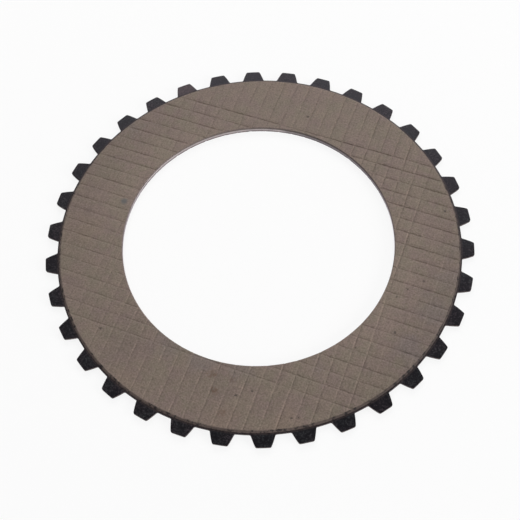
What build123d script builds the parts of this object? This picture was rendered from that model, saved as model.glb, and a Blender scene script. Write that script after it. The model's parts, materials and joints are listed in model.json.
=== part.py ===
from build123d import *
import os
from math import acos, cos, pi, radians, sin, tan

# A flat clutch disc: a toothed steel plate between two grooved friction facings.
# Millimetres and degrees. The disc lies flat: its axis is Z and its underside is at Z = 0.
# X runs along one family of grooves and Y along the other.

# Toothed steel plate
TOOTH_COUNT = 34
PITCH_DIAMETER = 170.0      # the circle on which a tooth is as wide as its gap: a module of 5
PRESSURE_ANGLE = 22.5       # between a flank and the radius, on the pitch circle
TOOTH_THINNING = 0.06       # what each tooth gives up of its half of the pitch, for play in the drum
TIP_HEIGHT = 2.5            # tip circle above the pitch circle
ROOT_DEPTH = 2.4            # root circle below the pitch circle
TIP_CORNER_RADIUS = 0.6
TOOTH_TURN = 6.0            # from the X axis to the middle of the first tooth
PLATE_THICKNESS = 1.2
BORE_RADIUS = 55.7

# Friction facings, one bonded to each side of the plate
FACING_THICKNESS = 0.8
FACING_RIM_INSET = 0.5      # bare ledge of plate between the facing's foot and the tooth roots
FACING_RIM_SLOPE = 0.6      # how far the facing's rim leans in from its foot to its face
FACING_BORE_INSET = 0.2     # bare ledge of plate between the bore and the facing

# Grooves that carry the oil across each facing, pressed in two square families
GROOVES_PER_FAMILY = 21
GROOVE_PITCH = 5.67
GROOVE_SHIFT = 0.4          # from the axis, along X, to the middle groove that runs along Y
GROOVE_WIDTH = 1.2          # at the face; the walls slope down to a line
GROOVE_DEPTH = 0.25

# Circles and heights that follow from the sizes above
pitch_radius = PITCH_DIAMETER / 2
base_radius = pitch_radius * cos(radians(PRESSURE_ANGLE))
tip_radius = pitch_radius + TIP_HEIGHT
root_radius = pitch_radius - ROOT_DEPTH
facing_foot_radius = root_radius - FACING_RIM_INSET
facing_face_radius = facing_foot_radius - FACING_RIM_SLOPE
facing_bore_radius = BORE_RADIUS + FACING_BORE_INSET
plate_bottom = FACING_THICKNESS
plate_top = plate_bottom + PLATE_THICKNESS
disc_middle = plate_bottom + PLATE_THICKNESS / 2
disc_top = plate_top + FACING_THICKNESS
groove_bottom = disc_top - GROOVE_DEPTH


def involute(angle):
    """The involute function, in radians."""
    return tan(angle) - angle


def half_tooth_angle(radius):
    """Half the angle, in radians, that a tooth takes up on the circle of this radius."""
    tooth_width = pi * pitch_radius / TOOTH_COUNT - TOOTH_THINNING
    widening = involute(radians(PRESSURE_ANGLE)) - involute(acos(base_radius / radius))
    return tooth_width / (2 * pitch_radius) + widening


def on_circle(radius, angle):
    """The point at this radius and angle (in radians) from the axis."""
    return (radius * cos(angle), radius * sin(angle))


def flank(side):
    """Three points of one involute flank: root, pitch circle and tip; side is -1 or 1."""
    radii = (root_radius, pitch_radius, tip_radius)
    return [on_circle(radius, side * half_tooth_angle(radius)) for radius in radii]


def tooth_profile():
    """One tooth about the X axis: two involute flanks, a tip arc and a foot under the facing.

    Over so short a flank the arc through three points leaves the involute by under 0.01 mm.
    """
    right_flank = flank(-1)
    left_flank = flank(1)
    foot_radius = facing_face_radius
    foot_angle = half_tooth_angle(root_radius)
    with BuildSketch() as profile:
        with BuildLine():
            Line(on_circle(foot_radius, -foot_angle), right_flank[0])
            ThreePointArc(*right_flank)
            ThreePointArc(right_flank[-1], (tip_radius, 0), left_flank[-1])
            ThreePointArc(*left_flank)
            Line(left_flank[0], on_circle(foot_radius, foot_angle))
            Line(on_circle(foot_radius, foot_angle), on_circle(foot_radius, -foot_angle))
        make_face()
    return profile.sketch


def near_radius(shape, radius):
    """The corners of a flat shape that lie on the circle of this radius."""
    tolerance = 0.01
    return [
        corner
        for corner in shape.vertices()
        if abs((corner.X**2 + corner.Y**2) ** 0.5 - radius) < tolerance
    ]


def core_plate():
    """The plate, blanked in one piece with its teeth."""
    with BuildPart() as plate:
        with BuildSketch(Plane.XY.offset(plate_bottom)):
            with BuildSketch(mode=Mode.PRIVATE) as outline:
                Circle(root_radius)
                with PolarLocations(0, TOOTH_COUNT, start_angle=TOOTH_TURN):
                    add(tooth_profile())
                fillet(near_radius(outline, tip_radius), TIP_CORNER_RADIUS)
                Circle(BORE_RADIUS, mode=Mode.SUBTRACT)
            add(outline.sketch)
        extrude(amount=PLATE_THICKNESS)
    return plate.part


def groove_section():
    """The section across one groove of the upper facing: a shallow V."""
    with BuildSketch() as section:
        with BuildLine():
            Polyline(
                (-GROOVE_WIDTH / 2, disc_top),
                (0, groove_bottom),
                (GROOVE_WIDTH / 2, disc_top),
                close=True,
            )
        make_face()
    return section.sketch


def upper_facing():
    """The ring of friction lining on top, with both families of grooves pressed part way in."""
    with BuildPart() as facing:
        with BuildSketch(Plane.XZ):
            with BuildLine():
                Polyline(
                    (facing_bore_radius, plate_top),
                    (facing_foot_radius, plate_top),
                    (facing_face_radius, disc_top),
                    (facing_bore_radius, disc_top),
                    close=True,
                )
            make_face()
        revolve(axis=Axis.Z)
        for across, middle in ((Plane.YZ, 0), (Plane.XZ, GROOVE_SHIFT)):
            with BuildSketch(across):
                with Locations((middle, 0)):
                    with GridLocations(GROOVE_PITCH, 0, GROOVES_PER_FAMILY, 1):
                        add(groove_section())
            extrude(amount=tip_radius, both=True, mode=Mode.SUBTRACT)
    return facing.part


def lower_facing(upper):
    """The same lining on the underside, facing down."""
    return mirror(upper, about=Plane.XY.offset(disc_middle))


os.makedirs("parts", exist_ok=True)
plate = core_plate()
upper = upper_facing()
pieces = {
    "core_plate": plate,
    "upper_facing": upper,
    "lower_facing": lower_facing(upper),
}
for name, piece in pieces.items():
    export_step(piece, f"parts/{name}.step")
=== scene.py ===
"""The looks of a clutch disc: a toothed steel plate between two grooved friction facings.

The disc's classes hold their sizes in millimetres, and the meshes are made in metres. The frame
is the CAD model's: the disc's axis is Z, its underside is at Z = 0, and its grooves run along X
and Y.
"""
import json
import logging
from collections.abc import Sequence
from dataclasses import dataclass, field
from enum import Enum
from math import atan2, cos, pi, radians, sin, tan
from typing import Any, NamedTuple

import bpy
import numpy as np
from mathutils import Matrix, Vector


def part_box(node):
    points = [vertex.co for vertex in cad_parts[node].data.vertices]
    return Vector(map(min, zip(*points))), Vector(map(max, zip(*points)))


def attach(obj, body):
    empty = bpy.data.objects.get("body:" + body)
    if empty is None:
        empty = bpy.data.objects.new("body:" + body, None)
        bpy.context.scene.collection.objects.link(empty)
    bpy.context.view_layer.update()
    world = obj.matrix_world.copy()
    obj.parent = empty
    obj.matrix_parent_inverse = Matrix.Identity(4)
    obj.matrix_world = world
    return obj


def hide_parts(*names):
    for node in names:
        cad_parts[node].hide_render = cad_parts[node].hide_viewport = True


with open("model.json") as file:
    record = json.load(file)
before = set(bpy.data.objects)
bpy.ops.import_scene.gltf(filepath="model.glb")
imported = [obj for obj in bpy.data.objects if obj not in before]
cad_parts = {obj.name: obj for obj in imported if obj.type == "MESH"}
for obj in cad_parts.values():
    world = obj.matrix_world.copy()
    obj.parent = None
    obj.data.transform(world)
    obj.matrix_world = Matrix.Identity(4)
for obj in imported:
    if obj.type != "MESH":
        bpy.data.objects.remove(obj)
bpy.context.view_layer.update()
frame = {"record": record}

log = logging.getLogger("clutch_disc")

MM = 0.001
Colour = tuple[float, float, float]
Point = tuple[float, float, float]
Weights = tuple[float, ...]


# Meshes


def ring_band(current: np.ndarray, following: np.ndarray) -> np.ndarray:
    """The quads between two closed rings of vertex numbers, each ring counter-clockwise.

    Quad k joins vertices k and k + 1 of both rings. It faces the way that points right of the
    step from the first ring to the second, seen along the ring: up, when the step goes outwards.

    Args:
        current: vertex numbers of the ring that the band starts from.
        following: vertex numbers of the ring that it ends on, as many.

    Returns:
        One row of four vertex numbers for each quad.
    """
    return np.stack([current, following, np.roll(following, -1), np.roll(current, -1)], axis=1)


def zip_rings(inner: np.ndarray, outer: np.ndarray, turns: np.ndarray) -> np.ndarray:
    """The triangles between two closed rings that have different numbers of vertices.

    All vertices are taken in order of their angle. Each one closes a triangle with the vertex
    before it on its own ring and the latest vertex of the other ring.

    Args:
        inner: vertex numbers of the inner ring, in order of angle.
        outer: vertex numbers of the outer ring, in order of angle.
        turns: the angle of every vertex of the mesh.

    Returns:
        One row of three vertex numbers for each triangle, facing up.
    """
    order = np.argsort(np.concatenate([turns[inner], turns[outer]]), kind="stable")
    on_inner = order < len(inner)
    inner_now = np.cumsum(on_inner) - 1
    outer_now = np.cumsum(~on_inner) - 1
    inner_before = inner_now - on_inner
    outer_before = outer_now - ~on_inner
    step_on_inner = np.stack([inner[inner_before], outer[outer_before], inner[inner_now]], axis=1)
    step_on_outer = np.stack([outer[outer_before], outer[outer_now], inner[inner_before]], axis=1)
    return np.where(on_inner[:, None], step_on_inner, step_on_outer)


def mesh_object(name: str, points: np.ndarray, faces: list[np.ndarray],
                sharp: float = 50.0) -> bpy.types.Object:
    """A mesh object at the origin.

    Args:
        name: the piece's name.
        points: one row of x, y, z in millimetres for each vertex.
        faces: arrays of vertex numbers, one row a face; each array has faces of one size.
        sharp: edges that turn by more than this angle, in degrees, stay sharp.

    Returns:
        The new object, smoothly shaded.
    """
    mesh = bpy.data.meshes.new(name)
    mesh.vertices.add(len(points))
    mesh.vertices.foreach_set("co", (points * MM).astype(np.float32).ravel())
    corners = np.concatenate([part.ravel() for part in faces])
    sizes = np.concatenate([np.full(len(part), part.shape[1]) for part in faces])
    mesh.loops.add(len(corners))
    mesh.loops.foreach_set("vertex_index", corners.astype(np.int32))
    mesh.polygons.add(len(sizes))
    mesh.polygons.foreach_set("loop_start", (np.cumsum(sizes) - sizes).astype(np.int32))
    mesh.polygons.foreach_set("use_smooth", np.ones(len(sizes), bool))
    mesh.update(calc_edges=True)
    mesh.validate()
    mesh.set_sharp_from_angle(angle=radians(sharp))
    piece = bpy.data.objects.new(name, mesh)
    bpy.context.scene.collection.objects.link(piece)
    return piece


def put_on(piece: bpy.types.Object, finish: bpy.types.Material, node: str) -> None:
    """Dresses a finished piece and puts it in the place of its CAD node.

    Args:
        piece: the new piece.
        finish: its material.
        node: the CAD node that the piece stands for.
    """
    piece.data.materials.append(finish)
    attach(piece, "root")
    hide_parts(node)
    triangles = sum(len(face.vertices) - 2 for face in piece.data.polygons)
    log.info("%s stands for %s, %d triangles", piece.name, node, triangles)


# Materials


class Signal:
    """A value or colour in a node tree. Arithmetic on it adds Math nodes."""

    def __init__(self, graph: "Graph", socket: bpy.types.NodeSocket) -> None:
        """Wraps one output socket of the graph."""
        self.graph = graph
        self.socket = socket

    def __add__(self, other: "Signal | float") -> "Signal":
        """This plus the other."""
        return self.graph.math("ADD", self, other)

    def __radd__(self, other: float) -> "Signal":
        """The number plus this."""
        return self.graph.math("ADD", other, self)

    def __sub__(self, other: "Signal | float") -> "Signal":
        """This less the other."""
        return self.graph.math("SUBTRACT", self, other)

    def __rsub__(self, other: float) -> "Signal":
        """The number less this."""
        return self.graph.math("SUBTRACT", other, self)

    def __mul__(self, other: "Signal | float") -> "Signal":
        """This times the other."""
        return self.graph.math("MULTIPLY", self, other)

    def __rmul__(self, other: float) -> "Signal":
        """The number times this."""
        return self.graph.math("MULTIPLY", other, self)

    def __truediv__(self, other: "Signal | float") -> "Signal":
        """This divided by the other."""
        return self.graph.math("DIVIDE", self, other)

    def __abs__(self) -> "Signal":
        """This without its sign."""
        return self.graph.math("ABSOLUTE", self, 0.0)

    def at_least(self, other: "Signal | float") -> "Signal":
        """The larger of this and the other."""
        return self.graph.math("MAXIMUM", self, other)


class Fade(NamedTuple):
    """A smooth step from low, where a value is at start, to high, where it is at end."""

    start: float
    end: float
    low: float = 0.0
    high: float = 1.0


class Lumps(NamedTuple):
    """A kind of smooth noise.

    Scale is how many lumps lie along one unit of the place, detail how many finer layers are
    added, and roughness how strong each of them is against the one before.
    """

    scale: float
    detail: float = 2.0
    roughness: float = 0.5


class Graph:
    """The node tree of one material or of the world."""

    def __init__(self, tree: bpy.types.NodeTree) -> None:
        """Takes over the tree and empties it."""
        tree.nodes.clear()
        self.tree = tree

    def node(self, kind: str, settings: dict[str, Any] | None = None,
             inputs: dict[str | int, Any] | None = None) -> bpy.types.Node:
        """Adds a node.

        Args:
            kind: the type of node.
            settings: the node's own properties, which are set first.
            inputs: a number, a colour or a Signal for each socket, by name or place.

        Returns:
            The new node.
        """
        made = self.tree.nodes.new(kind)
        for name, value in (settings or {}).items():
            setattr(made, name, value)
        for key, value in (inputs or {}).items():
            if isinstance(value, Signal):
                self.tree.links.new(value.socket, made.inputs[key])
            else:
                made.inputs[key].default_value = value
        return made

    def signal(self, kind: str, output: str | int = 0, settings: dict[str, Any] | None = None,
               inputs: dict[str | int, Any] | None = None) -> Signal:
        """Adds a node and returns one of its outputs; the arguments are those of node."""
        return Signal(self, self.node(kind, settings, inputs).outputs[output])

    def math(self, operation: str, first: Signal | float, second: Signal | float) -> Signal:
        """A Math node of this operation on two values."""
        return self.signal("ShaderNodeMath", 0, {"operation": operation}, {0: first, 1: second})

    def weigh(self, weights: Weights, values: Sequence[Signal]) -> Signal:
        """The sum of the values, each times its weight."""
        first, *others = (value * weight for value, weight in zip(values, weights))
        return sum(others, first)

    def place(self) -> Signal:
        """Where the point is on the piece: its Object coordinates, in millimetres."""
        metres = self.signal("ShaderNodeTexCoord", "Object")
        return self.signal("ShaderNodeVectorMath", 0, {"operation": "SCALE"},
                           {"Vector": metres, "Scale": 1 / MM})

    def stretched(self, place: Signal, scale: Point, shift: Point = (0.0, 0.0, 0.0)) -> Signal:
        """The place times a scale along each axis, plus a shift."""
        return self.signal("ShaderNodeVectorMath", 0, {"operation": "MULTIPLY_ADD"},
                           {0: place, 1: scale, 2: shift})

    def parts(self, place: Signal) -> tuple[Signal, Signal, Signal]:
        """The x, y and z of a place."""
        split = self.node("ShaderNodeSeparateXYZ", inputs={0: place})
        return tuple(Signal(self, output) for output in split.outputs)

    def noise(self, place: Signal, lumps: Lumps) -> Signal:
        """Smooth noise about 0, mostly between -1 and 1.

        The node's own value lies about a half, mostly within a quarter of it.

        Args:
            place: where the noise is read.
            lumps: its kind.

        Returns:
            The noise.
        """
        raw = self.signal("ShaderNodeTexNoise", 0, {"noise_dimensions": "3D"},
                          {"Vector": place, "Scale": lumps.scale, "Detail": lumps.detail,
                           "Roughness": lumps.roughness})
        return raw * 4.0 - 2.0

    def ease(self, value: Signal, fade: Fade) -> Signal:
        """A smooth step over the value."""
        return self.signal("ShaderNodeMapRange", 0, {"interpolation_type": "SMOOTHSTEP"},
                           {"Value": value, "From Min": fade.start, "From Max": fade.end,
                            "To Min": fade.low, "To Max": fade.high})

    def blend(self, share: Signal, first: Signal | Colour, second: Signal | Colour) -> Signal:
        """The first colour, or the second one where the share is 1."""
        ends = [end if isinstance(end, Signal) else (*end, 1.0) for end in (first, second)]
        return self.signal("ShaderNodeMix", 2, {"data_type": "RGBA"},
                           {0: share, 6: ends[0], 7: ends[1]})

    def shade(self, colour: Signal, factor: Signal) -> Signal:
        """The colour made lighter or darker by a factor."""
        return self.signal("ShaderNodeVectorMath", 0, {"operation": "SCALE"},
                           {"Vector": colour, "Scale": factor})

    def distance(self, place: Signal, centre: Point) -> Signal:
        """How far the place is from a centre."""
        return self.signal("ShaderNodeVectorMath", 1, {"operation": "DISTANCE"},
                           {0: place, 1: centre})

    def bump(self, height: Signal, depth: float) -> Signal:
        """A normal bent by a height, of which a value of 1 stands for a depth in millimetres."""
        return self.signal("ShaderNodeBump", 0, None,
                           {"Height": height, "Distance": depth * MM, "Strength": 1.0})

    def surface(self, colour: Signal, roughness: Signal, normal: Signal, metallic: Signal | float,
                specular: float, gloss_tint: Colour = (1.0, 1.0, 1.0)) -> None:
        """Ends a material in one Principled shader.

        Args:
            colour: base colour.
            roughness: roughness.
            normal: bent normal.
            metallic: 1 for bare metal.
            specular: specular level, the same all over.
            gloss_tint: colour of the gloss, the same all over.
        """
        shader = self.signal("ShaderNodeBsdfPrincipled", 0, None,
                             {"Base Color": colour, "Roughness": roughness, "Normal": normal,
                              "Metallic": metallic, "Specular IOR Level": specular,
                              "Specular Tint": (*gloss_tint, 1.0)})
        self.node("ShaderNodeOutputMaterial", inputs={"Surface": shader})


def new_material(name: str) -> tuple[bpy.types.Material, Graph]:
    """A material with an empty node tree, and that tree.

    Args:
        name: the material's name.

    Returns:
        The material and its tree.
    """
    material = bpy.data.materials.new(name)
    material.use_nodes = True
    return material, Graph(material.node_tree)


class Place:
    """Where a point of the piece is, in millimetres, and how far from the axis."""

    def __init__(self, graph: Graph) -> None:
        """Reads the Object coordinates.

        Args:
            graph: the material's nodes.
        """
        self.whole = graph.place()
        self.x, self.y, self.z = graph.parts(self.whole)
        self.flat = graph.stretched(self.whole, (1.0, 1.0, 0.0))
        self.radius = graph.distance(self.flat, (0.0, 0.0, 0.0))

    def towards(self, azimuth: float) -> Signal:
        """The cosine of the angle, seen from the axis, between the point and an azimuth."""
        turn = radians(azimuth)
        return (self.x * cos(turn) + self.y * sin(turn)) / self.radius


class Mark(Enum):
    """The kinds of mark on a used ground face.

    Each has its colour, the share of its radius within which it has its full strength, and the
    wobble of its edge: how many lumps lie along a millimetre, and how far they reach.
    """

    BLUED = (0.175, 0.139, 0.127), 0.1, 0.17, 3.5
    BROWNED = (0.205, 0.152, 0.119), 0.1, 0.17, 3.5
    DULLED = (0.160, 0.124, 0.103), 0.1, 0.17, 3.5
    SMUDGE = (0.112, 0.106, 0.103), 0.45, 1.6, 0.35
    STAIN = (0.116, 0.066, 0.044), 0.2, 0.9, 1.1
    PORE = (0.045, 0.034, 0.030), 0.35, 1.6, 0.35

    def __init__(self, tone: Colour, core: float, lumps: float, reach: float) -> None:
        """Takes the values of one kind.

        Args:
            tone: the colour.
            core: the share of the radius that has the full strength.
            lumps: how many lumps of the edge's wobble lie along a millimetre.
            reach: how far they reach, in millimetres.
        """
        self.tone = tone
        self.core = core
        self.lumps = lumps
        self.reach = reach


class Spot(NamedTuple):
    """One mark on the ground face: its place and radius in millimetres, and its strength."""

    x: float
    y: float
    radius: float
    strength: float


Marks = dict[Mark, tuple[Spot, ...]]
UPPER_MARKS: Marks = {
    Mark.BLUED: (
        Spot(73.1, -25.9, 11.0, 0.75), Spot(78.0, -8.9, 12.0, 0.7), Spot(78.0, 8.1, 9.0, 0.5),
        Spot(76.0, 22.0, 7.0, 0.4), Spot(-0.8, -58.0, 8.0, 0.75), Spot(-16.8, -56.0, 9.0, 0.55),
        Spot(14.3, -55.9, 6.0, 0.5), Spot(41.2, -45.9, 6.0, 0.4), Spot(-71.8, 34.4, 6.0, 0.6),
    ),
    Mark.BROWNED: (
        Spot(37.2, -71.9, 11.0, 0.7), Spot(15.2, -76.0, 9.0, 0.6), Spot(-25.9, -75.1, 8.0, 0.5),
        Spot(-70.0, -19.8, 11.0, 0.6), Spot(-17.6, 78.1, 9.0, 0.4),
    ),
    Mark.DULLED: (Spot(-32.9, -61.0, 13.0, 0.5), Spot(9.2, -66.0, 8.0, 0.35)),
    Mark.SMUDGE: (Spot(-59.5, -1.7, 1.8, 0.95),),
    Mark.STAIN: (
        Spot(4.5, -61.3, 2.2, 0.8), Spot(7.8, -67.2, 2.0, 0.9), Spot(12.5, -60.9, 1.7, 0.7),
        Spot(13.4, -74.3, 1.8, 0.7),
    ),
    Mark.PORE: (
        Spot(-0.6, 64.9, 0.8, 0.85), Spot(-43.9, -58.4, 0.7, 0.75), Spot(16.2, -66.2, 0.75, 0.85),
        Spot(21.2, -62.5, 0.65, 0.8), Spot(68.2, 37.7, 0.8, 0.8), Spot(68.8, 3.5, 0.6, 0.7),
        Spot(63.9, -1.9, 0.55, 0.7), Spot(60.9, -6.6, 0.6, 0.7), Spot(64.6, -21.5, 0.75, 0.75),
        Spot(52.2, -32.6, 0.6, 0.65), Spot(38.7, -67.4, 0.65, 0.7), Spot(41.2, -66.3, 0.6, 0.65),
    ),
}

# The azimuth, in degrees, where the bore wall of all three layers is darkest with painted shade
SHADED_BORE_AZIMUTH = 66.0


class FaceNoises(NamedTuple):
    """The noises of the ground face: its grain, its streaks both ways, and its slow drift."""

    grain: Signal
    streaks: Signal
    cross_streaks: Signal
    drift: Signal


@dataclass(frozen=True)
class FrictionLining:
    """Sintered lining: grey brown and matt, with a ground face and a stained rim and bore wall.
    The face and the rim carry painted highlights, and the rim and the bore wall painted shade.

    Azimuths are in degrees. A fade along the radius counts from the edge that it belongs to.
    """

    face_radius: float
    bore_radius: float
    grooves: "Grooves"
    bore_darkening_start: float

    # Colours
    colour: Colour = (0.196, 0.148, 0.120)
    greenish: Colour = (0.187, 0.151, 0.116)
    purplish: Colour = (0.193, 0.142, 0.123)
    rim_colour: Colour = (0.108, 0.081, 0.071)
    rim_stain: Colour = (0.026, 0.020, 0.020)
    bore_colour: Colour = (0.186, 0.146, 0.133)
    bore_stain_and_shade: Colour = (0.085, 0.064, 0.060)

    # Noises
    grain: Lumps = Lumps(1.4, 3.0, 0.72)
    streaks: Lumps = Lumps(1.0)
    streak_stretch: Point = (1.7, 0.14, 1.0)
    cross_streak_stretch: Point = (0.09, 1.6, 1.0)
    drift: Lumps = Lumps(0.2, 4.0, 0.6)
    drift_shift: Point = (41.0, 17.0, 5.0)
    cloud: Lumps = Lumps(0.13, 4.0, 0.6)
    pores: Lumps = Lumps(0.75, 1.0)
    pore_shift: Point = (7.0, 3.0, 1.0)
    mottle: Lumps = Lumps(0.5, 4.0, 0.6)

    # The ground face
    purple_grain: float = 0.5
    purple_fade: Fade = Fade(-0.5, 0.5)
    colour_fade: Fade = Fade(-0.5, 0.7, 0.0, 0.7)
    tone_weights: Weights = (0.4, 0.1, 0.06, 0.03)
    lap_azimuth: float = -10.0
    lap_fade: Fade = Fade(57.0, 79.5, 0.085, -0.085)
    patch_streaks: float = 0.3
    patch_fade: Fade = Fade(-0.6, 0.8, 0.3, 1.7)
    groove_shade: float = 0.05
    groove_end: float = 0.2
    # A painted highlight along one edge of each groove, and where on the disc it shows
    glint_strength: float = 0.11
    edge_fade: Fade = Fade(0.05, 0.38, 1.0, 0.0)
    edge_lean: float = 0.5
    edge_far_fade: Fade = Fade(-30.0, 50.0, 1.0, 0.2)
    edge_left_fade: Fade = Fade(-70.0, -28.0, 0.15, 1.0)
    cross_edge_fade: Fade = Fade(-75.0, -30.0, 0.6, 0.0)
    stain_fade: Fade = Fade(-0.7, 0.4)
    pore_fade: Fade = Fade(0.95, 1.3, 0.0, 0.5)

    # The rim and the bore wall
    rim_weights: Weights = (0.06, 0.14)
    rim_fade: Fade = Fade(-0.32, 0.04)
    rim_stain_fade: Fade = Fade(0.0, 0.5)
    # Painted shade on the rim, darker towards +X
    rim_right_shade: Fade = Fade(30.0, 72.0, 1.15, 0.72)
    # A painted highlight on one side of the rim, and a small lean of the rim's edge
    rim_glint_azimuth: float = 110.0
    rim_glint_fade: Fade = Fade(0.3, 0.95, 0.0, 0.5)
    lean_azimuth: float = 84.0
    lean_width: float = 0.14
    bore_grain: float = 0.02
    bore_fade: Fade = Fade(0.03, 0.12, 1.0, 0.0)
    bore_stain_fade: Fade = Fade(0.0, 0.6)
    bore_shade_fade: Fade = Fade(0.8, 0.95, 1.0, 0.68)
    side_grain: float = 0.3

    # Relief and gloss
    height_weights: Weights = (0.5, 0.3, 0.15, -1.5)
    bump_depth: float = 0.02
    roughness: float = 0.66
    roughness_weights: Weights = (0.06, 0.03, 0.12)
    specular: float = 0.35

    def groove_share(self, graph: Graph, across: Signal) -> Signal:
        """How near a point is to a groove of one family: 1 on its floor, 0 beside it.

        The distance to the nearest groove is a zigzag of the distance across the family, whose
        period is the groove pitch.

        Args:
            graph: the material's nodes.
            across: the distance from the family's middle groove.

        Returns:
            The nearness.
        """
        grooves = self.grooves
        zigzag = graph.math("PINGPONG", across, grooves.pitch / 2)
        end = grooves.reach + grooves.half_width
        inside = graph.ease(abs(across), Fade(end, end + self.groove_end, 1.0, 0.0))
        wall = Fade(grooves.floor_half_width, grooves.half_width, 1.0, 0.0)
        return graph.ease(zigzag, wall) * inside

    def groove_glint(self, graph: Graph, across: Signal) -> Signal:
        """How near a point is to the painted highlight along one edge of a groove: the one on its
        minus side.

        The distance across the family is wrapped to half a pitch on both sides of each groove.

        Args:
            graph: the material's nodes.
            across: the distance from the family's middle groove.

        Returns:
            The nearness.
        """
        half_pitch = self.grooves.pitch / 2
        off_middle = graph.signal("ShaderNodeMath", 0, {"operation": "WRAP"},
                                  {0: across, 1: half_pitch, 2: -half_pitch})
        return graph.ease(abs(off_middle + self.grooves.half_width), self.edge_fade)

    @staticmethod
    def marked(graph: Graph, point: Place, marks: Marks, kind: Mark, colour: Signal,
               cover: Signal | float = 1.0) -> Signal:
        """The colour with the marks of one kind laid over it.

        The mark that is strongest at a point counts there. Its strength holds within its core
        and eases to nothing at its radius. The point is first shifted by smooth noise, which
        frays the edge.

        Args:
            graph: the material's nodes.
            point: where the point is.
            marks: the marks of all kinds.
            kind: the kind to lay over.
            colour: the colour below.
            cover: the share of the marks that covers the colour.

        Returns:
            The marked colour.
        """
        spots = marks.get(kind, ())
        if not spots:
            return colour
        noise = graph.signal("ShaderNodeTexNoise", 1, {"noise_dimensions": "3D"},
                             {"Vector": point.whole, "Scale": kind.lumps, "Detail": 1.0})
        spread = 4 * kind.reach
        wobble = graph.stretched(noise, (spread, spread, 0.0), (-spread / 2, -spread / 2, 0.0))
        frayed = graph.signal("ShaderNodeVectorMath", 0, {"operation": "ADD"},
                              {0: point.flat, 1: wobble})
        share = None
        for spot in spots:
            near = graph.ease(graph.distance(frayed, (spot.x, spot.y, 0.0)),
                              Fade(spot.radius * kind.core, spot.radius, spot.strength, 0.0))
            share = near if share is None else share.at_least(near)
        return graph.blend(share * cover, colour, kind.tone)

    def tint(self, graph: Graph, point: Place, over: FaceNoises, marks: Marks) -> Signal:
        """The face's colour before its grain: shades that drift, and worn patches.

        Args:
            graph: the material's nodes.
            point: where the point is.
            over: the noises of the ground face.
            marks: the marks on the face.

        Returns:
            The colour.
        """
        cloud = graph.noise(point.whole, self.cloud)
        purple = graph.ease(cloud + over.grain * self.purple_grain, self.purple_fade)
        tint = graph.blend(purple, self.greenish, self.purplish)
        tint = graph.blend(graph.ease(over.drift, self.colour_fade), tint, self.colour)
        for kind in (Mark.BLUED, Mark.BROWNED, Mark.DULLED):
            tint = self.marked(graph, point, marks, kind, tint)
        return tint

    def face(self, graph: Graph, point: Place, over: FaceNoises, marks: Marks,
             pores: Signal) -> Signal:
        """The ground face's colour.

        Its level follows the grain and the streaks, falls towards the outside along one
        diameter, rises in a painted highlight along one edge of each groove, more on some sides
        of the disc than others, and falls in the grooves.

        Args:
            graph: the material's nodes.
            point: where the point is.
            over: the noises of the ground face.
            marks: the marks on the face.
            pores: the share of fine pores.

        Returns:
            The colour.
        """
        across_x, across_y = point.x - self.grooves.x_shift, point.y - self.grooves.y_shift
        grooves = self.groove_share(graph, across_y).at_least(self.groove_share(graph, across_x))
        off_axis = point.towards(self.lap_azimuth)
        lobe = off_axis * off_axis
        lapped = graph.ease(point.radius, self.lap_fade) * lobe * lobe
        patchy = graph.ease(over.drift + over.streaks * self.patch_streaks, self.patch_fade)
        # Painted highlight: a light line along one edge of each groove, stronger on some sides of
        # the disc
        edges = (self.groove_glint(graph, across_x)
                 * graph.ease(point.y - point.x * self.edge_lean, self.edge_far_fade)
                 * graph.ease(point.x, self.edge_left_fade)
                 + self.groove_glint(graph, across_y) * graph.ease(point.y, self.cross_edge_fade))
        level = 1.0 + graph.weigh(self.tone_weights, over) + lapped
        level = level + edges * patchy * self.glint_strength
        colour = graph.shade(self.tint(graph, point, over, marks),
                             level - grooves * patchy * self.groove_shade)
        colour = self.marked(graph, point, marks, Mark.SMUDGE, colour)
        colour = self.marked(graph, point, marks, Mark.STAIN, colour,
                             graph.ease(over.grain, self.stain_fade))
        colour = graph.blend(pores, colour, Mark.PORE.tone)
        return self.marked(graph, point, marks, Mark.PORE, colour)

    def sides(self, graph: Graph, point: Place, over: FaceNoises) -> tuple[Signal, Signal]:
        """The rim and the bore wall.

        Args:
            graph: the material's nodes.
            point: where the point is.
            over: the noises of the ground face.

        Returns:
            How far a point belongs to them, and their colour.
        """
        mottle = graph.noise(point.whole, self.mottle)
        # Painted highlight: on one side the face's lighter colour runs out over the rim's slope;
        # the lean moves the rim's edge a little along one direction
        rim_glint_and_lean = (graph.ease(point.towards(self.rim_glint_azimuth), self.rim_glint_fade)
                  + point.towards(self.lean_azimuth) * self.lean_width)
        past_face = point.radius - self.face_radius - rim_glint_and_lean
        rim = graph.ease(past_face + graph.weigh(self.rim_weights, (over.grain, mottle)),
                         self.rim_fade)
        past_bore = point.radius - self.bore_radius
        bore = graph.ease(past_bore + over.grain * self.bore_grain, self.bore_fade)

        rim_tone = graph.blend(graph.ease(mottle, self.rim_stain_fade), self.rim_colour,
                               self.rim_stain)
        # Painted shade: the rim is darker towards +X
        rim_tone = graph.shade(rim_tone, graph.ease(point.x, self.rim_right_shade))
        # Stains in blotches on the bore wall; on the lower facing, near the floor, they also
        # stand for painted shade
        stained = graph.ease(mottle - self.bore_darkening_start, self.bore_stain_fade)
        # Painted shade: the bore wall darkens towards one azimuth
        bore_tone = graph.shade(graph.blend(stained, self.bore_colour, self.bore_stain_and_shade),
                                graph.ease(point.towards(SHADED_BORE_AZIMUTH), self.bore_shade_fade))
        colour = graph.shade(graph.blend(bore, rim_tone, bore_tone),
                             1.0 + over.grain * self.side_grain)
        return rim.at_least(bore), colour

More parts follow.
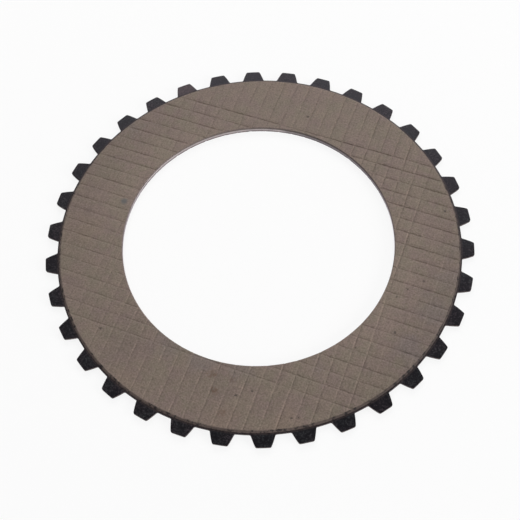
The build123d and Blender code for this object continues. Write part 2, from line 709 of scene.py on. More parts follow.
    def material(self, name: str, marks: Marks) -> bpy.types.Material:
        """The lining's material.

        Args:
            name: the material's name.
            marks: the marks on its face.

        Returns:
            The new material.
        """
        material, graph = new_material(name)
        point = Place(graph)
        place = point.whole
        over = FaceNoises(
            graph.noise(place, self.grain),
            graph.noise(graph.stretched(place, self.streak_stretch), self.streaks),
            graph.noise(graph.stretched(place, self.cross_streak_stretch), self.streaks),
            graph.noise(graph.stretched(place, (1.0, 1.0, 1.0), self.drift_shift), self.drift))
        pore_noise = graph.noise(graph.stretched(place, (1.0, 1.0, 1.0), self.pore_shift),
                                 self.pores)
        pores = graph.ease(pore_noise, self.pore_fade)
        side, side_colour = self.sides(graph, point, over)
        colour = graph.blend(side, self.face(graph, point, over, marks, pores), side_colour)
        height = graph.weigh(self.height_weights,
                             (over.grain, over.streaks, over.cross_streaks, pores))
        roughness = self.roughness + graph.weigh(self.roughness_weights,
                                                 (over.grain, over.streaks, side))
        graph.surface(colour, roughness, graph.bump(height, self.bump_depth), 0.0, self.specular)
        return material


@dataclass(frozen=True)
class BlackenedSteel:
    """Oil-blackened sheet steel with flecks, a painted glint on one tooth and a bright wall in
    the bore.

    A fade along the height or the radius counts from the edge that it belongs to.
    """

    levels: "Levels"
    bore_radius: float
    root_radius: float

    # Colours
    colour: Colour = (0.0052, 0.0050, 0.0062)
    fleck_brown: Colour = (0.042, 0.033, 0.038)
    fleck_green: Colour = (0.032, 0.035, 0.036)
    tooth_glint_colour: Colour = (0.070, 0.049, 0.051)
    ledge_colour: Colour = (0.036, 0.027, 0.026)
    side_colour: Colour = (0.088, 0.061, 0.057)
    side_stain: Colour = (0.036, 0.027, 0.027)
    cut_colour: Colour = (0.45, 0.40, 0.39)
    cut_stain: Colour = (0.24, 0.21, 0.20)
    gloss_tint: Colour = (0.93, 0.85, 1.0)

    # Noises; the drag marks run upwards on the walls
    mottle: Lumps = Lumps(0.9, 4.0, 0.65)
    fine: Lumps = Lumps(1.8, 3.0, 0.6)
    cloud: Lumps = Lumps(0.12, 3.0)
    hue: Lumps = Lumps(0.11, 1.0)
    drag: Lumps = Lumps(1.0, 3.0, 0.6)
    drag_around: float = 60.0
    drag_upwards: float = 0.5

    # The black top, the painted glint on one tooth, the walls of the teeth and the wall of the
    # bore
    fleck_weights: Weights = (0.7, 1.0, 0.4)
    fleck_fade: Fade = Fade(-0.35, 1.4)
    hue_fade: Fade = Fade(-0.5, 0.5)
    glinting_tooth: Point = (-58.1, 62.1, 2.0)
    tooth_glint_reach: Fade = Fade(3.0, 5.5, 0.9, 0.0)
    tooth_glint_fade: Fade = Fade(-0.7, 0.5, 0.4, 1.0)
    side_mottle: float = 0.05
    side_top_fade: Fade = Fade(0.1, 0.2)
    side_foot_fade: Fade = Fade(0.01, 0.06)
    side_drag: float = 0.2
    stain_drag: float = 0.5
    stain_fade: Fade = Fade(-0.4, 0.7)
    ledge_mottle: float = 0.25
    ledge_fade: Fade = Fade(0.35, -0.05)
    ledge_stain_fade: Fade = Fade(-0.5, 0.3, 0.35, 1.0)
    bore_shade_fade: Fade = Fade(0.8, 0.95, 1.0, 0.45)
    cut_fade: Fade = Fade(0.06, 0.14, 1.0, 0.0)
    cut_fine: float = 0.3
    cut_stain_fade: Fade = Fade(0.0, 1.1)
    cut_drag: float = 0.14

    # Relief and gloss
    height_weights: Weights = (0.5, 0.35)
    cut_height: float = 0.4
    bump_depth: float = 0.014
    roughness: float = 0.4
    roughness_weights: Weights = (0.08, 0.05, 0.03, 0.14)
    cut_roughness: float = 0.38
    cut_roughness_drag: float = 0.05
    specular: float = 0.2

    def material(self, name: str) -> bpy.types.Material:
        """The plate's material.

        Args:
            name: the material's name.

        Returns:
            The new material.
        """
        material, graph = new_material(name)
        point = Place(graph)
        mottle = graph.noise(point.whole, self.mottle)
        fine = graph.noise(point.whole, self.fine)
        cloud = graph.noise(point.whole, self.cloud)

        flecks = graph.ease(graph.weigh(self.fleck_weights, (mottle, fine, cloud)),
                            self.fleck_fade)
        hue = graph.ease(graph.noise(point.whole, self.hue), self.hue_fade)
        black = graph.blend(flecks, self.colour,
                            graph.blend(hue, self.fleck_brown, self.fleck_green))
        # Painted highlight: one tooth is lightened to a brownish grey, as a glint of light
        worn = graph.ease(graph.distance(point.whole, self.glinting_tooth), self.tooth_glint_reach)
        black = graph.blend(worn * graph.ease(mottle, self.tooth_glint_fade), black, self.tooth_glint_colour)

        below_top = self.levels.plate_top - point.z + mottle * self.side_mottle
        above_foot = point.z - self.levels.plate_bottom
        side = (graph.ease(below_top, self.side_top_fade)
                * graph.ease(above_foot, self.side_foot_fade))
        turn = graph.math("ARCTAN2", point.y, point.x)
        along = graph.signal("ShaderNodeCombineXYZ", 0, None,
                             {0: turn * self.drag_around, 1: point.z * self.drag_upwards})
        drag = graph.noise(along, self.drag)
        stained = graph.ease(mottle + drag * self.stain_drag, self.stain_fade)
        sheared = graph.blend(stained, self.side_colour, self.side_stain)
        past_root = point.radius - self.root_radius + mottle * self.ledge_mottle
        ledge = graph.ease(past_root, self.ledge_fade) * graph.ease(mottle, self.ledge_stain_fade)
        top = graph.blend(ledge, black, self.ledge_colour)
        outer = graph.shade(graph.blend(side, top, sheared), 1.0 + drag * side * self.side_drag)

        cut = graph.ease(point.radius - self.bore_radius, self.cut_fade)
        dull = graph.ease(cloud + fine * self.cut_fine, self.cut_stain_fade)
        # Painted shade: the bright bore wall darkens towards one azimuth
        bore_shaded = graph.ease(point.towards(SHADED_BORE_AZIMUTH), self.bore_shade_fade)
        bright = graph.shade(graph.blend(dull, self.cut_colour, self.cut_stain),
                             (1.0 + drag * self.cut_drag) * bore_shaded)
        colour = graph.blend(cut, outer, bright)

        height = (graph.weigh(self.height_weights, (mottle, fine)) * (1.0 - cut)
                  + drag * cut * self.cut_height)
        matt = self.roughness + graph.weigh(self.roughness_weights, (mottle, fine, cloud, side))
        roughness = (matt * (1.0 - cut)
                     + (self.cut_roughness + drag * self.cut_roughness_drag) * cut)
        graph.surface(colour, roughness, graph.bump(height, self.bump_depth), cut, self.specular,
                      self.gloss_tint)
        return material


# The disc


@dataclass(frozen=True)
class Levels:
    """Heights of the disc's layers, read from the CAD nodes, in millimetres."""

    plate_bottom: float
    plate_top: float
    disc_top: float

    @classmethod
    def from_frame(cls) -> "Levels":
        """Reads the heights from the boxes of the plate and the upper facing.

        Returns:
            The heights.
        """
        plate_low, plate_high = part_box("core_plate")
        _, facing_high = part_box("upper_facing")
        return cls(plate_low.z / MM, plate_high.z / MM, facing_high.z / MM)


class Path(Enum):
    """What a ring of the plate follows, and so what its size means."""

    CIRCLE = "a circle of this radius"
    INSET = "the outline, moved in by this much"


class Ring(NamedTuple):
    """One corner of the plate's cross-section, which is carried round as a ring."""

    path: Path
    size: float
    height: float


@dataclass
class ToothedPlate:
    """The steel core plate, blanked in one piece with its 34 teeth.

    The blanked walls, at the teeth and in the bore, have a sheared zone above and a torn one
    below, which lies a small step deeper in the steel.
    """

    levels: Levels
    bore_radius: float

    # Teeth
    tooth_count: int = 34
    pitch_radius: float = 85.0
    pressure_angle: float = 22.5
    tooth_thinning: float = 0.06
    tip_height: float = 2.5
    root_depth: float = 2.35
    tooth_turn: float = 6.0
    corner_width: float = 1.05

    # Cross-section
    roll_inset: float = 0.32
    roll_drop: float = 0.13
    burr: float = 0.04
    sheared_drop: float = 0.5
    torn_drop: float = 0.65
    torn_inset: float = 0.01
    torn_foot: float = 0.2
    outline_inset: float = 0.42
    neck_inset: float = 0.7
    hidden_radius: float = 70.0
    bore_chamfer: float = 0.06
    bore_burr: float = 0.04
    bore_step: float = 0.02
    bore_step_foot: float = 0.6
    bore_step_head: float = 0.7

    # Mesh
    flank_points: int = 40
    gap_points: int = 20
    even_points_per_tooth: int = 400
    points_per_tooth: int = 60
    bend_weight: float = 1.3
    roll_rings: int = 6

    @property
    def root_radius(self) -> float:
        """The radius of the gaps between the teeth."""
        return self.pitch_radius - self.root_depth

    def half_tooth_angle(self, radius: np.ndarray) -> np.ndarray:
        """Half the angle that a tooth takes up at each radius.

        It is half the tooth's width over the pitch radius, plus the involute function of the
        pressure angle, less that of the angle whose cosine is the base radius over the radius.

        Args:
            radius: the radii.

        Returns:
            The half angles, in radians.
        """
        base = self.pitch_radius * cos(radians(self.pressure_angle))
        width = pi * self.pitch_radius / self.tooth_count - self.tooth_thinning
        there = np.arccos(base / radius)
        at_pitch = radians(self.pressure_angle)
        widening = (tan(at_pitch) - at_pitch) - (np.tan(there) - there)
        return width / (2 * self.pitch_radius) + widening

    def sharp_outline(self) -> np.ndarray:
        """The outline of all teeth with sharp corners.

        One pitch goes along the root circle, up an involute flank, along the tip circle, down the
        other flank and along the root circle again. It is then turned once for every tooth.

        Returns:
            Its points as x and y, counter-clockwise.
        """
        root = self.root_radius
        tip = self.pitch_radius + self.tip_height
        half_pitch = pi / self.tooth_count
        flank_radii = np.linspace(root, tip, self.flank_points)
        flank_angles = self.half_tooth_angle(flank_radii)
        gap_angles = np.linspace(flank_angles[0], half_pitch, self.gap_points)[1:]
        gap_before = -gap_angles[-2::-1]
        tip_angles = np.linspace(-flank_angles[-1], flank_angles[-1], self.flank_points)[1:-1]
        angles = np.concatenate([gap_before, -flank_angles, tip_angles,
                                 flank_angles[::-1], gap_angles])
        radii = np.concatenate([np.full(len(gap_before), root), flank_radii,
                                np.full(len(tip_angles), tip), flank_radii[::-1],
                                np.full(len(gap_angles), root)])
        starts = radians(self.tooth_turn) + 2 * half_pitch * np.arange(self.tooth_count)
        turned = (starts[:, None] + angles[None, :]).ravel()
        around = np.tile(radii, self.tooth_count)
        return np.stack([around * np.cos(turned), around * np.sin(turned)], axis=1)

    def outline(self) -> tuple[np.ndarray, np.ndarray]:
        """The outline with rounded corners, and its outward normals.

        The sharp outline is sampled evenly and averaged over a short length of itself, which
        turns each corner into a small curve. The points are then spread evenly over the sum of
        the length and a share of the turning, so that they crowd in the corners.

        Returns:
            The points, and a unit normal for each, as x and y.
        """
        sharp = self.sharp_outline()
        even = self.resample(sharp, self.lengths(sharp),
                             self.tooth_count * self.even_points_per_tooth)
        step = self.lengths(even)[-1] / len(even)
        half = int(round(self.corner_width / step / 2))
        padded = np.concatenate([even[-half:], even, even[:half]])
        sums = np.concatenate([np.zeros((1, 2)), np.cumsum(padded, axis=0)])
        window = 2 * half + 1
        soft = (sums[window:] - sums[:-window]) / window
        ahead = np.roll(soft, -1, axis=0) - np.roll(soft, 1, axis=0)
        heading = np.unwrap(np.arctan2(ahead[:, 1], ahead[:, 0]))
        bend = np.abs(np.roll(heading, -1) - heading)
        bend[-1] = bend[0]
        measure = self.lengths(soft) + self.bend_weight * np.concatenate([[0], np.cumsum(bend)])
        count = self.tooth_count * self.points_per_tooth
        points = self.resample(soft, measure, count)
        normals = self.resample(np.stack([ahead[:, 1], -ahead[:, 0]], axis=1), measure, count)
        return points, normals / np.linalg.norm(normals, axis=1, keepdims=True)

    @staticmethod
    def lengths(loop: np.ndarray) -> np.ndarray:
        """The length along a closed loop up to each point, and back at the first point."""
        steps = np.linalg.norm(np.roll(loop, -1, axis=0) - loop, axis=1)
        return np.concatenate([[0], np.cumsum(steps)])

    @staticmethod
    def resample(loop: np.ndarray, measure: np.ndarray, count: int) -> np.ndarray:
        """Points at even steps of a measure that grows along a closed loop.

        Args:
            loop: the loop's points, or other values at them, as two columns.
            measure: the measure at each point, and back at the first one.
            count: how many points to make.

        Returns:
            The points, as two columns.
        """
        closed = np.concatenate([loop, loop[:1]])
        steps = np.linspace(0, measure[-1], count, endpoint=False)
        return np.stack([np.interp(steps, measure, closed[:, axis]) for axis in (0, 1)], axis=1)

    def section(self) -> list[Ring]:
        """The plate's cross-section, from the bore over the top to the teeth and back below.

        The upper edge of the teeth is rolled over on a quarter ellipse, and the lower one is
        broken.

        Returns:
            The corners, in order.
        """
        top, bottom = self.levels.plate_top, self.levels.plate_bottom
        bore, torn = self.bore_radius, self.torn_inset
        neck = self.root_radius - self.neck_inset
        above = [(bore + self.bore_chamfer, top), (self.hidden_radius, top), (neck, top)]
        roll = [(self.roll_inset * (1 - sin(t)), top - self.roll_drop * (1 - cos(t)))
                for t in np.linspace(0, pi / 2, self.roll_rings)]
        teeth = [
            (self.outline_inset, top), *roll,
            (0.0, top - self.sheared_drop), (torn, top - self.torn_drop),
            (torn, bottom + self.torn_foot), (torn, bottom + self.burr),
            (torn + self.burr, bottom), (self.outline_inset, bottom),
        ]
        below = [
            (neck, bottom), (self.hidden_radius, bottom), (bore + self.bore_chamfer, bottom),
            (bore + self.bore_step, bottom + self.bore_burr),
            (bore + self.bore_step, bottom + self.bore_step_foot),
            (bore, bottom + self.bore_step_head), (bore, top - self.bore_chamfer),
        ]
        zones = ((Path.CIRCLE, above), (Path.INSET, teeth), (Path.CIRCLE, below))
        return [Ring(path, *corner) for path, corners in zones for corner in corners]

    def build(self, finish: bpy.types.Material) -> bpy.types.Object:
        """Builds the plate: the section is carried along the outline, one ring for each corner.

        A ring that follows the outline is moved in along its normals. A ring that follows a
        circle has its points at the outline's angles.

        Args:
            finish: its material.

        Returns:
            The plate.
        """
        points, normals = self.outline()
        unit = points / np.linalg.norm(points, axis=1, keepdims=True)
        rings = []
        for ring in self.section():
            inset = ring.path is Path.INSET
            flat = points - normals * ring.size if inset else unit * ring.size
            rings.append(np.column_stack([flat, np.full(len(flat), ring.height)]))
        numbers = np.arange(len(rings) * len(points)).reshape(len(rings), len(points))
        faces = [ring_band(numbers[k], numbers[(k + 1) % len(rings)]) for k in range(len(rings))]
        plate = mesh_object("toothed_plate", np.concatenate(rings), faces)
        put_on(plate, finish, "core_plate")
        return plate


class Wave(NamedTuple):
    """A slow sine along a groove: its strength, radians per millimetre and phase per groove."""

    strength: float
    rate: float
    phase: float


class Slope(NamedTuple):
    """A share on the axis, and what it gains over the grooves' reach towards +X and +Y."""

    middle: float
    towards_x: float
    towards_y: float


@dataclass(frozen=True)
class Grooves:
    """Two crossing families of shallow, unevenly worn grooves with a flat floor."""

    count: int = 21
    pitch: float = 5.67
    x_shift: float = 0.6
    y_shift: float = 0.15
    half_width: float = 0.48
    floor_half_width: float = 0.12
    depth: float = 0.235
    wear: float = 0.74
    waves: tuple[Wave, ...] = (Wave(0.18, 0.11, 2.4), Wave(0.24, 0.37, 1.3))
    x_running: Slope = Slope(0.94, 0.08, 0.26)
    y_running: Slope = Slope(0.65, 0.29, 0.08)
    wall_lines: int = 5
    land_lines: int = 5
    margin_lines: int = 22

    @property
    def reach(self) -> float:
        """How far from its middle groove the outermost groove of a family lies."""
        return (self.count - 1) / 2 * self.pitch

    def family(self, across: np.ndarray, along: np.ndarray, start: float) -> np.ndarray:
        """The depth of one family at each point.

        Across a groove the floor is flat and each wall is half a wave of the cosine. Along it
        two slow sines, whose phases change from groove to groove, let it wear shallower and
        deeper.

        Args:
            across: the distance from the family's middle groove.
            along: where along the grooves.
            start: the phase of both sines at the middle groove.

        Returns:
            The depth at each point.
        """
        last = (self.count - 1) / 2
        number = np.clip(np.round(across / self.pitch), -last, last)
        off_middle = np.abs(across - number * self.pitch)
        wall = self.half_width - self.floor_half_width
        share = np.clip((off_middle - self.floor_half_width) / wall, 0.0, 1.0)
        wear = self.wear
        for wave in self.waves:
            wear = wear + wave.strength * np.sin(along * wave.rate + number * wave.phase + start)
        return self.depth * wear * (0.5 + 0.5 * np.cos(pi * share))

    def worn(self, x: np.ndarray, y: np.ndarray, slope: Slope) -> np.ndarray:
        """The share of a family's depth that is left at each point, which slopes evenly."""
        return slope.middle + (slope.towards_x * x + slope.towards_y * y) / self.reach

    def depth_at(self, x: np.ndarray, y: np.ndarray) -> np.ndarray:
        """The depth at each point: that of the deeper family there.

        Args:
            x: where along X.
            y: where along Y.

        Returns:
            The depth.
        """
        along_x = self.family(y - self.y_shift, x, 0.0) * self.worn(x, y, self.x_running)
        along_y = self.family(x - self.x_shift, y, 1.0) * self.worn(x, y, self.y_running)
        return np.maximum(along_x, along_y)

    def stations(self, middle: float, reach: float) -> np.ndarray:
        """Places of the grid's lines on one axis: crowded in each groove, and wider between.

        Args:
            middle: where the family's middle groove lies.
            reach: how far from the axis the grid goes on both sides.

        Returns:
            The places, in order.
        """
        centres = middle + (np.arange(self.count) - (self.count - 1) / 2) * self.pitch
        wall = np.linspace(self.floor_half_width, self.half_width, self.wall_lines)
        inside = np.concatenate([-wall[::-1], [0.0], wall])
        land = np.linspace(self.half_width, self.pitch - self.half_width, self.land_lines)[1:-1]
        dense = (centres[:, None] + np.concatenate([inside, land])[None, :]).ravel()
        dense = dense[: -len(land)]
        left = np.linspace(-reach, dense[0], self.margin_lines)[:-1]
        right = np.linspace(dense[-1], reach, self.margin_lines)[1:]
        return np.concatenate([left, dense, right])


class Side(Enum):
    """Which side of the plate a facing is on."""

    UPPER = "upper"
    LOWER = "lower"


class Sheet(NamedTuple):
    """The face between two circles.

    Its points are rows of x and y, and its faces are in arrays by size. The vertex numbers on
    the inner and on the outer circle are in order of angle.
    """

    points: np.ndarray
    faces: list[np.ndarray]
    inner_edge: np.ndarray
    outer_edge: np.ndarray


@dataclass
class FrictionFacing:
    """A ring of friction lining with grooves in its face, a vertical bore and a sloping rim."""

    side: Side
    levels: Levels
    bore_radius: float
    foot_radius: float
    rim_slope: float = 0.6
    rim_round: float = 0.4
    bore_round: float = 0.06
    sheet_bore_margin: float = 0.2
    sheet_rim_margin: float = 0.35
    grid_margin: float = 0.3
    rim_offsets: tuple[float, ...] = (-0.25, -0.15, -0.05, 0.05, 0.15, 0.3)
    bore_rings: int = 4
    ring_count: int = 2048
    grooves: Grooves = field(default_factory=Grooves)

    @property
    def face_radius(self) -> float:
        """The radius at which the face ends and the rim starts."""
        return self.foot_radius - self.rim_slope

    def height_at(self, x: np.ndarray, y: np.ndarray) -> np.ndarray:
        """The height of the upper facing's surface.

        It is the lower of the grooved face and the rim's cone, which runs straight from the
        face's edge to the foot. Near their meeting a parabola rounds the edge.

        Args:
            x: where along X.
            y: where along Y.

        Returns:
            The height at each point.
        """
        face = self.levels.disc_top - self.grooves.depth_at(x, y)
        rise = self.levels.disc_top - self.levels.plate_top
        cone = self.levels.plate_top + (self.foot_radius - np.hypot(x, y)) * rise / self.rim_slope
        share = np.clip(0.5 + 0.5 * (cone - face) / self.rim_round, 0.0, 1.0)
        return cone + (face - cone) * share - self.rim_round * share * (1 - share)

    def sheet(self, inner: float, outer: float) -> Sheet:
        """The face between two circles, on a square grid that is cut off at the circles.

        A grid point is kept where its radius lies between the two. Each grid edge with one kept
        end gets a point where it meets the circle: its other coordinate is the root of the
        circle's squared radius less its own squared coordinate.

        Args:
            inner: radius of the inner circle.
            outer: radius of the outer circle.

        Returns:
            The sheet.
        """
        across = self.grooves.stations(self.grooves.x_shift, outer + self.grid_margin)
        upwards = self.grooves.stations(self.grooves.y_shift, outer + self.grid_margin)
        gx, gy = np.meshgrid(across, upwards, indexing="ij")
        radius = np.hypot(gx, gy)
        kept = (radius > inner) & (radius < outer)
        corner_numbers = np.full(kept.shape, -1)
        corner_numbers[kept] = np.arange(kept.sum())
        points = [np.stack([gx[kept], gy[kept]], axis=1)]
        total = int(kept.sum())

        edge_numbers = []
        for axis, (moving, fixed) in enumerate(((gx, gy), (gy, gx))):
            near = (slice(None),) * axis + (slice(None, -1),)
            far = (slice(None),) * axis + (slice(1, None),)
            cut = kept[near] != kept[far]
            low, high, still = moving[near][cut], moving[far][cut], fixed[near][cut]
            middle = (low + high) / 2
            circle = np.where(np.hypot(middle, still) < (inner + outer) / 2, inner, outer)
            meet = np.sign(middle) * np.sqrt(np.maximum(circle**2 - still**2, 0.0))
            meet = np.clip(meet, low, high)
            points.append(np.stack([meet, still] if axis == 0 else [still, meet], axis=1))
            numbers = np.full(cut.shape, -1)
            numbers[cut] = total + np.arange(cut.sum())
            total += int(cut.sum())
            edge_numbers.append(numbers)

        flat = np.concatenate(points)
        boundary = np.arange(len(points[0]), len(flat))
        turns = np.arctan2(flat[boundary, 1], flat[boundary, 0])
        boundary = boundary[np.argsort(turns)]
        is_inner = np.hypot(*flat[boundary].T) < (inner + outer) / 2
        faces = self.cut_squares(corner_numbers, *edge_numbers)
        return Sheet(flat, faces, boundary[is_inner], boundary[~is_inner])

    @staticmethod
    def cut_squares(corner_numbers: np.ndarray, along_x: np.ndarray,
                    along_y: np.ndarray) -> list[np.ndarray]:
        """The grid's squares as polygons, one array for each set of kept corners.

        A square is the polygon of its kept corners and the points on its edges. Its set is
        written as a binary number, with one bit for each kept corner.

        Args:
            corner_numbers: the vertex number of each grid point, or -1 where it is cut off.
            along_x: the same for the points on the grid's edges along X.
            along_y: the same for the points on the grid's edges along Y.

        Returns:
            The arrays of vertex numbers, one row a face.
        """
        corners = [corner_numbers[:-1, :-1], corner_numbers[1:, :-1],
                   corner_numbers[1:, 1:], corner_numbers[:-1, 1:]]
        edges = [along_x[:, :-1], along_y[1:, :], along_x[:, 1:], along_y[:-1, :]]
        pattern = sum((corner >= 0).astype(int) << k for k, corner in enumerate(corners))
        faces = []
        for code in range(1, 2 ** len(corners)):
            here = pattern == code
            if not here.any():
                continue
            kept = [bool(code >> k & 1) for k in range(len(corners))]
            columns = []
            for k, corner in enumerate(corners):
                if kept[k]:
                    columns.append(corner[here])
                if kept[k] != kept[(k + 1) % len(corners)]:
                    columns.append(edges[k][here])
            faces.append(np.stack(columns, axis=1))
        return faces

    def rim_rings(self) -> list[np.ndarray]:
        """The rings over the rim to the foot, back under the facing and up its bore.

        The edge of the bore is rounded on a quarter circle.

        Returns:
            The points of each ring, in order of angle.
        """
        turns = (np.arange(self.ring_count) + 0.5) / self.ring_count * 2 * pi - pi
        unit = np.stack([np.cos(turns), np.sin(turns)], axis=1)
        rings = []
        for offset in self.rim_offsets:
            flat = unit * (self.face_radius + offset)
            rings.append(np.column_stack([flat, self.height_at(*flat.T)]))
        for radius in (self.foot_radius, self.bore_radius):
            foot = np.full(len(unit), self.levels.plate_top)
            rings.append(np.column_stack([unit * radius, foot]))
        for turn in np.linspace(pi / 2, 0, self.bore_rings):
            flat = unit * (self.bore_radius + self.bore_round * (1 - sin(turn)))
            height = self.height_at(*flat.T) - self.bore_round * (1 - cos(turn))
            rings.append(np.column_stack([flat, height]))
        return rings

    def build(self, finish: bpy.types.Material) -> bpy.types.Object:
        """Builds the facing: the cut sheet, the rings of its rim and bore, and two seams.

        The lower facing is the upper one mirrored about the plate's middle, with its faces
        turned round.

        Args:
            finish: its material.

        Returns:
            The facing.
        """
        sheet = self.sheet(self.bore_radius + self.sheet_bore_margin,
                           self.face_radius - self.sheet_rim_margin)
        faces = sheet.faces
        surface = np.column_stack([sheet.points, self.height_at(*sheet.points.T)])
        rings = self.rim_rings()
        points = np.concatenate([surface, *rings])
        numbers = len(surface) + np.arange(len(rings) * self.ring_count).reshape(len(rings), -1)
        turns = np.arctan2(points[:, 1], points[:, 0])
        for current, following in zip(numbers[:-1], numbers[1:]):
            faces.append(ring_band(current, following))
        faces.append(zip_rings(sheet.outer_edge, numbers[0], turns))
        faces.append(zip_rings(numbers[-1], sheet.inner_edge, turns))
        if self.side is Side.LOWER:
            points[:, 2] = self.levels.plate_top + self.levels.plate_bottom - points[:, 2]
            faces = [part[:, ::-1] for part in faces]
        facing = mesh_object(f"{self.side.value}_friction_facing", points, faces)
        put_on(facing, finish, f"{self.side.value}_facing")
        return facing


# The studio


@dataclass(frozen=True)
class Softbox:
    """A rectangular soft light, placed by its direction from the disc, in degrees and metres."""

    name: str
    azimuth: float
    elevation: float
    distance: float
    width: float
    height: float
    radiance: float

    def build(self) -> None:
        """Makes the light. Its power is its radiance times pi times its area."""
        lamp = bpy.data.lights.new(self.name, "AREA")
        lamp.shape = "RECTANGLE"
        lamp.size, lamp.size_y = self.width, self.height
        lamp.energy = self.radiance * pi * self.width * self.height
        level = cos(radians(self.elevation)) * self.distance
        position = Vector((level * cos(radians(self.azimuth)), level * sin(radians(self.azimuth)),
                           self.distance * sin(radians(self.elevation))))
        light = bpy.data.objects.new(self.name, lamp)
        light.matrix_world = (Matrix.Translation(position)
                              @ position.to_track_quat("Z", "Y").to_matrix().to_4x4())
        light.visible_camera = False
        bpy.context.scene.collection.objects.link(light)


@dataclass(frozen=True)
class Camera:
    """The photograph's viewpoint, fitted to the disc's circles, teeth and grooves.

    Angles are in degrees, the distance is in millimetres, and the places in the picture are in
    its pixels. The camera looks at the middle of the upper face, and is then turned by a few
    degrees so that the disc lies where the photograph has it. The lens's own centre is off the
    middle of the picture, as in a photograph that was cropped.
    """

    focal_pixels: float = 917.252
    frame_pixels: float = 520.0
    azimuth: float = -66.116
    elevation: float = 60.253
    distance: float = 375.785
    roll: float = -3.918
    aim_right: float = 17.508
    aim_up: float = -31.785
    centre_right: float = -19.944
    centre_up: float = -10.277
    sensor_width: float = 36.0
    clip_range: tuple[float, float] = (0.01, 50.0)

    def build(self, height: float) -> bpy.types.Object:
        """Makes the camera.

        Args:
            height: the height of the disc's upper face, in millimetres.

        Returns:
            The camera, which is also made the scene's.
        """
        outward = Vector((cos(radians(self.elevation)) * cos(radians(self.azimuth)),
                          cos(radians(self.elevation)) * sin(radians(self.azimuth)),
                          sin(radians(self.elevation))))
        forward = -outward
        right = forward.cross(Vector((0, 0, 1))).normalized()
        up = right.cross(forward)
        turn = radians(self.roll)
        right, up = cos(turn) * right + sin(turn) * up, cos(turn) * up - sin(turn) * right
        sideways = Matrix.Rotation(atan2(self.aim_right, self.focal_pixels), 3, up)
        forward, right = sideways @ forward, sideways @ right
        tilt = Matrix.Rotation(atan2(self.aim_up, self.focal_pixels), 3, right)
        forward, up = tilt @ forward, tilt @ up

        lens = bpy.data.cameras.new("photo_view")
        lens.sensor_width = self.sensor_width
        lens.lens = self.focal_pixels / self.frame_pixels * lens.sensor_width
        lens.shift_x = -self.centre_right / self.frame_pixels
        lens.shift_y = -self.centre_up / self.frame_pixels
        lens.clip_start, lens.clip_end = self.clip_range
        camera = bpy.data.objects.new("photo_view", lens)
        position = (outward * self.distance + Vector((0, 0, height))) * MM
        camera.matrix_world = (Matrix.Translation(position)
                               @ Matrix((right, up, -forward)).transposed().to_4x4())
        bpy.context.scene.collection.objects.link(camera)
        bpy.context.scene.camera = camera
        return camera


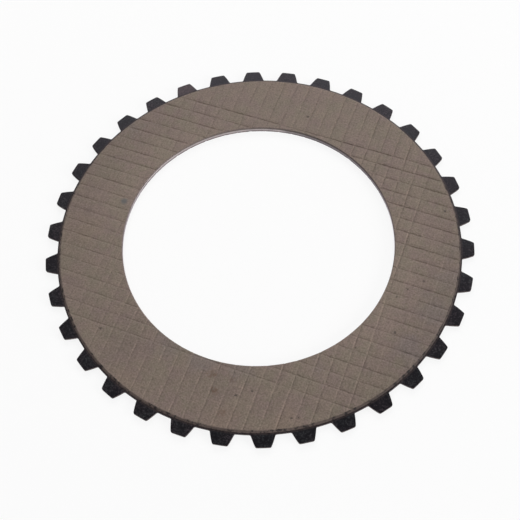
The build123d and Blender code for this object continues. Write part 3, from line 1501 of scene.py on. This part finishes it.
@dataclass(frozen=True)
class Studio:
    """A pale floor that curves up into a wall all round, and soft lights. Sizes are in metres."""

    floor_radius: float = 2.2
    wall_height: float = 0.9
    bend_radius: float = 0.5
    inner_rings: tuple[float, ...] = (0.3, 0.8)
    bend_rings: int = 13
    turn_steps: int = 96
    floor_colour: Colour = (0.9, 0.9, 0.9)
    shown_white: float = 0.87
    sky: float = 0.12
    softboxes: tuple[Softbox, ...] = (
        Softbox("back_light", 104.0, 40.0, 1.1, 1.1, 0.55, 4.0),
        Softbox("right_light", 2.0, 22.0, 1.3, 0.8, 0.5, 8.6),
        Softbox("left_light", 205.0, 52.0, 1.3, 0.9, 0.6, 1.7),
        Softbox("front_light", -66.0, 30.0, 1.5, 1.2, 0.5, 1.4),
    )

    def floor_material(self) -> bpy.types.Material:
        """White paint that keeps shadows, and looks near white when seen or reflected.

        Returns:
            The new material.
        """
        material, graph = new_material("studio_white")
        rays = graph.node("ShaderNodeLightPath")
        seen, mirrored, refracted = (
            Signal(graph, rays.outputs[name])
            for name in ("Is Camera Ray", "Is Glossy Ray", "Is Transmission Ray"))
        share = seen.at_least(mirrored).at_least(refracted) * self.shown_white
        paint = graph.signal("ShaderNodeBsdfDiffuse", 0, None,
                             {"Color": (*self.floor_colour, 1.0)})
        glow = graph.signal("ShaderNodeEmission", 0, None, {"Strength": 1.0})
        shader = graph.signal("ShaderNodeMixShader", 0, None, {0: share, 1: paint, 2: glow})
        graph.node("ShaderNodeOutputMaterial", inputs={"Surface": shader})
        return material

    def floor(self) -> bpy.types.Object:
        """The floor and wall: a profile turned about Z.

        The profile runs out from the axis, round a quarter circle and up the wall.

        Returns:
            The floor.
        """
        bend = np.linspace(-pi / 2, 0, self.bend_rings)
        centre = self.floor_radius - self.bend_radius
        out = np.concatenate([self.inner_rings, centre + self.bend_radius * np.cos(bend),
                              [self.floor_radius]])
        up = np.concatenate([np.zeros(len(self.inner_rings)),
                             self.bend_radius * (1 + np.sin(bend)), [self.wall_height]])
        turns = np.arange(self.turn_steps) / self.turn_steps * 2 * pi
        rings = np.stack([out[:, None] * np.cos(turns), out[:, None] * np.sin(turns),
                          up[:, None] + 0 * turns], axis=2).reshape(-1, 3)
        points = np.concatenate([rings, [[0.0, 0.0, 0.0]]]) / MM
        numbers = np.arange(len(rings)).reshape(len(out), -1)
        first = numbers[0]
        cap = np.stack([first, np.roll(first, -1), np.full(len(first), len(rings))], axis=1)
        faces = [ring_band(a, b) for a, b in zip(numbers[:-1], numbers[1:])] + [cap]
        floor = mesh_object("studio_floor", points, faces)
        floor.data.materials.append(self.floor_material())
        return floor

    def build(self) -> None:
        """Makes the floor, the world and the lights."""
        self.floor()
        world = bpy.data.worlds.new("studio_air")
        world.use_nodes = True
        graph = Graph(world.node_tree)
        air = graph.signal("ShaderNodeBackground", 0, None,
                           {"Color": (1.0, 1.0, 1.0, 1.0), "Strength": self.sky})
        graph.node("ShaderNodeOutputWorld", inputs={"Surface": air})
        bpy.context.scene.world = world
        for softbox in self.softboxes:
            softbox.build()
        bpy.context.scene.view_settings.view_transform = "Standard"


# The whole


# The bare ledge of plate, in millimetres, between its bore and each facing's
FACING_INSET = 0.2

# The mottle from which each facing's bore wall is darkened: stains on both, and on the lower one,
# near the floor, also painted shade
BORE_DARKENING_START = {Side.UPPER: 0.3, Side.LOWER: -0.2}


def mount_radius(name: str) -> float:
    """The radius, in millimetres, that the record states for a round mount."""
    mounts = frame["record"]["mounts"]
    return next(mount for mount in mounts if mount["name"] == name)["dims"]["r_mm"]


def main() -> None:
    """Builds the disc and the studio around it."""
    logging.basicConfig(level=logging.INFO, format="%(name)s: %(message)s")
    levels = Levels.from_frame()
    bore = mount_radius("plate_bore")
    facing_bore = bore + FACING_INSET
    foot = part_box("upper_facing")[1].x / MM

    plate = ToothedPlate(levels, bore)
    steel = BlackenedSteel(levels, bore, plate.root_radius)
    plate.build(steel.material("blackened_steel"))
    for side in Side:
        facing = FrictionFacing(side, levels, facing_bore, foot)
        lining = FrictionLining(facing.face_radius, facing_bore, facing.grooves,
                                BORE_DARKENING_START[side])
        marks = UPPER_MARKS if side is Side.UPPER else {}
        facing.build(lining.material(f"{side.value}_lining", marks))
    Camera().build(levels.disc_top)
    Studio().build()


if __name__ == "__main__":
    main()
